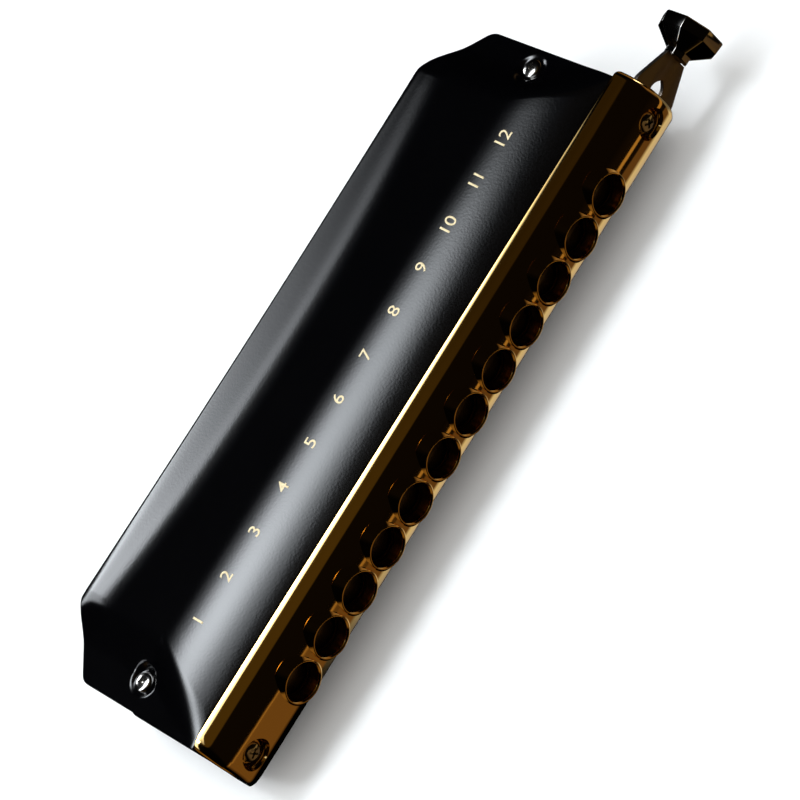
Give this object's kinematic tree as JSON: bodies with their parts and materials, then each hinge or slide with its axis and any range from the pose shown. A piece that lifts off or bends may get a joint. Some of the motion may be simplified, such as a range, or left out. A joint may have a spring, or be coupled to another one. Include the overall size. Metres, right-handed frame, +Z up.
{
  "type": "chromatic harmonica",
  "caption": "Long reed instrument with a rounded gold mouthpiece, black domed covers and a spring-loaded slide pressed by a button at one end.",
  "frame": {"origin": "middle of the lower cover's flat crown, which the part rests on", "axes": "+X along the holes from hole 1 to the button, +Y from the player to the back, +Z up from the resting face to the top cover"},
  "size_m": [0.1589, 0.0508, 0.0248],
  "materials": {
    "gold_plate": "polished gold plating",
    "black_lacquer": "glossy black lacquer on stamped steel",
    "slide_steel": "dark nickel plating, satin on the slide and polished on the button",
    "screw_steel": "bright plated steel",
    "brass": "rolled brass",
    "comb_plastic": "moulded black plastic",
    "silicone": "soft grey silicone",
    "valve_film": "thin white film",
    "spring_steel": "spring wire"
  },
  "bodies": {
    "instrument": {"mouthpiece": "gold_plate", "upper_cover": "black_lacquer", "lower_cover": "black_lacquer", "mouthpiece_screw_left": "screw_steel", "mouthpiece_screw_right": "screw_steel", "cover_screw_left": "screw_steel", "cover_screw_right": "screw_steel", "cover_nut_left": "screw_steel", "cover_nut_right": "screw_steel", "spring_post": "screw_steel", "slide_front_plate": "brass", "slide_back_plate": "brass", "upper_reed_plate": "brass", "lower_reed_plate": "brass", "upper_blow_reeds": "brass", "upper_draw_reeds": "brass", "lower_blow_reeds": "brass", "lower_draw_reeds": "brass", "upper_plate_screw_1": "brass", "upper_plate_screw_2": "brass", "upper_plate_screw_3": "brass", "upper_plate_screw_4": "brass", "upper_plate_screw_5": "brass", "lower_plate_screw_1": "brass", "lower_plate_screw_2": "brass", "lower_plate_screw_3": "brass", "lower_plate_screw_4": "brass", "lower_plate_screw_5": "brass", "comb": "comb_plastic", "comb_seal": "silicone", "slide_bumper": "silicone", "upper_outer_valves": "valve_film", "lower_outer_valves": "valve_film", "slide_spring": "spring_steel"},
    "slide": {"slide": "slide_steel", "button": "slide_steel", "button_pin": "screw_steel"}
  },
  "joints": [
    {"name": "slide_press", "type": "slide", "parent": "instrument", "child": "slide", "axis": [-1, 0, 0], "range_m": [0, 0.0047], "stiffness_N_per_m": 350, "springref_m": -0.003, "deforming": ["slide_spring"]}
  ]
}
